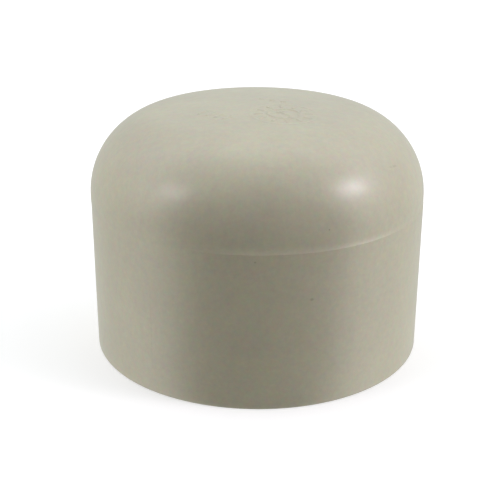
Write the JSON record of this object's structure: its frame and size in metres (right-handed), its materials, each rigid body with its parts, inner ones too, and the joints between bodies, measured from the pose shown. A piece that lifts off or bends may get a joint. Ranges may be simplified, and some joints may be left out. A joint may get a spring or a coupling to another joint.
{
  "type": "pipe cap",
  "caption": "Domed slip cap that closes the end of a plastic pipe: a rounded crown over a straight skirt with a tapered solvent-weld socket and a pipe-stop ledge inside.",
  "frame": {"origin": "centre of the open mouth, on the plane of the rim that the cap stands on", "axes": "+Z along the cap's axis, from the open mouth up to the crown; the cap is round, so +X and +Y are any two directions across it"},
  "size_m": [0.057, 0.057, 0.042],
  "materials": {
    "moulded_plastic": "satin, as moulded"
  },
  "bodies": {
    "root": {"cap_body": "moulded_plastic"}
  },
  "joints": []
}
